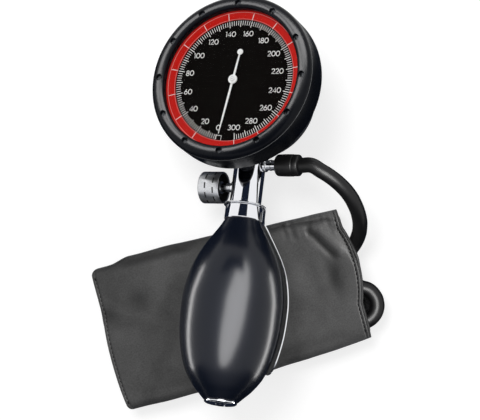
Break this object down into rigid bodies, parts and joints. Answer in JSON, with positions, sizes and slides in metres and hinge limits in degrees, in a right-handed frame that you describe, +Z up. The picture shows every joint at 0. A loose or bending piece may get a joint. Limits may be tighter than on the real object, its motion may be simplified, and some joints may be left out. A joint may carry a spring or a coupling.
{
  "type": "aneroid sphygmomanometer",
  "caption": "Palm-type aneroid blood pressure gauge with rubber bumper, release valve, inflation bulb and finger spoon, lying on its folded arm cuff.",
  "frame": {"origin": "centre of the box around the whole part without the hose, on the surface that it lies on", "axes": "+Y from the bulb to the gauge along the tube in plan, +Z up from the surface, +X to the right when the dial is read from above"},
  "size_m": [0.1627, 0.2304, 0.0783],
  "materials": {
    "case_metal": "satin, spun",
    "bumper_rubber": "satin moulded rubber with soft highlights",
    "dial_black": "matt black print",
    "scale_red": "glossy signal red",
    "lens_clear": "clear polished",
    "bezel_black": "glossy black",
    "pointer_white": "matt white",
    "movement_brass": "turned, satin",
    "capsule_bronze": "rolled sheet, satin",
    "spring_steel": "bright",
    "chrome": "mirror polished",
    "seal_rubber": "matt",
    "hose_rubber": "satin, extruded",
    "bulb_rubber": "satin with broad highlights",
    "cuff_nylon": "closely woven satin nylon",
    "fold_nylon": "closely woven satin nylon",
    "hook_tape": "stiff hook tape",
    "loop_tape": "brushed loop tape",
    "bladder_rubber": "matt sheet rubber"
  },
  "bodies": {
    "instrument": {"gauge_case": "case_metal", "bumper": "bumper_rubber", "dial_carrier": "case_metal", "dial_plate": "dial_black", "scale_ring": "scale_red", "lens_gasket": "seal_rubber", "lens": "lens_clear", "bezel": "bezel_black", "hairspring": "spring_steel", "base_plate": "movement_brass", "top_plate": "movement_brass", "pillars": "movement_brass", "movement_screws": "spring_steel", "capsule": "capsule_bronze", "stem_socket": "spring_steel", "stem_ring": "seal_rubber", "valve_body": "chrome", "needle_bush": "movement_brass", "hose_barb": "chrome", "hose_sleeve": "hose_rubber", "hose": "hose_rubber", "outlet_seat": "movement_brass", "collar": "chrome", "bulb": "bulb_rubber", "end_valve": "chrome", "end_cap": "spring_steel", "cuff_wrap": "cuff_nylon", "cuff_fold": "fold_nylon", "hook_strip": "hook_tape", "loop_strip": "loop_tape", "bladder": "bladder_rubber", "bladder_port": "hose_rubber"},
    "pointer_shaft": {"pointer": "pointer_white", "pinion_arbor": "movement_brass"},
    "sector": {"sector_gear": "movement_brass"},
    "rocker_shaft": {"rocker": "movement_brass"},
    "stud": {"capsule_stud": "movement_brass"},
    "needle": {"release_needle": "chrome"},
    "knob": {"release_knob": "chrome"},
    "spoon": {"spoon": "chrome"},
    "outlet_ball": {"outlet_ball": "seal_rubber"},
    "intake_ball": {"intake_ball": "seal_rubber"}
  },
  "joints": [
    {"name": "sector_turn", "type": "hinge", "parent": "instrument", "child": "sector", "pos_m": [-0.02154, 0.07138, 0.03076], "axis": [-0.4226, 0.2193, 0.8794], "range_deg": [0, 34.35], "stiffness_Nm_per_rad": 0.001},
    {"name": "pointer_turn", "type": "hinge", "parent": "instrument", "child": "pointer_shaft", "pos_m": [-0.01401, 0.06998, 0.05156], "axis": [-0.4226, 0.2193, 0.8794], "range_deg": [-343.5, 0]},
    {"name": "rocker_turn", "type": "hinge", "parent": "instrument", "child": "rocker_shaft", "pos_m": [-0.01024, 0.07099, 0.0308], "axis": [-0.9063, -0.1022, -0.4101], "range_deg": [0, 23]},
    {"name": "stud_lift", "type": "slide", "parent": "instrument", "child": "stud", "axis": [-0.4226, 0.2193, 0.8794], "range_m": [0, 0.00234]},
    {"name": "needle_travel", "type": "slide", "parent": "instrument", "child": "needle", "axis": [-0.9063, -0.1022, -0.4101], "range_m": [0, 0.00112]},
    {"name": "knob_turn", "type": "hinge", "parent": "needle", "child": "knob", "pos_m": [-0.01172, 0.01292, 0.02732], "axis": [-0.9063, -0.1022, -0.4101], "range_deg": [0, 540]},
    {"name": "spoon_swing", "type": "hinge", "parent": "instrument", "child": "spoon", "pos_m": [0.0007, 0.00423, 0.03545], "axis": [0, -0.9703, 0.2419], "range_deg": [0, 180]},
    {"name": "outlet_ball_lift", "type": "slide", "parent": "instrument", "child": "outlet_ball", "axis": [0, 0.9703, -0.2419], "range_m": [0, 0.0012]},
    {"name": "intake_ball_lift", "type": "slide", "parent": "instrument", "child": "intake_ball", "axis": [0, 0.9703, -0.2419], "range_m": [0, 0.0012]}
  ],
  "couplings": [
    {"joint": "pointer_turn", "follows": "sector_turn", "ratio": -10},
    {"joint": "rocker_turn", "follows": "sector_turn", "ratio": 0.669},
    {"joint": "stud_lift", "follows": "sector_turn", "m_per_rad": 0.0039},
    {"joint": "knob_turn", "follows": "needle_travel", "rad_per_m": 8377.5}
  ]
}
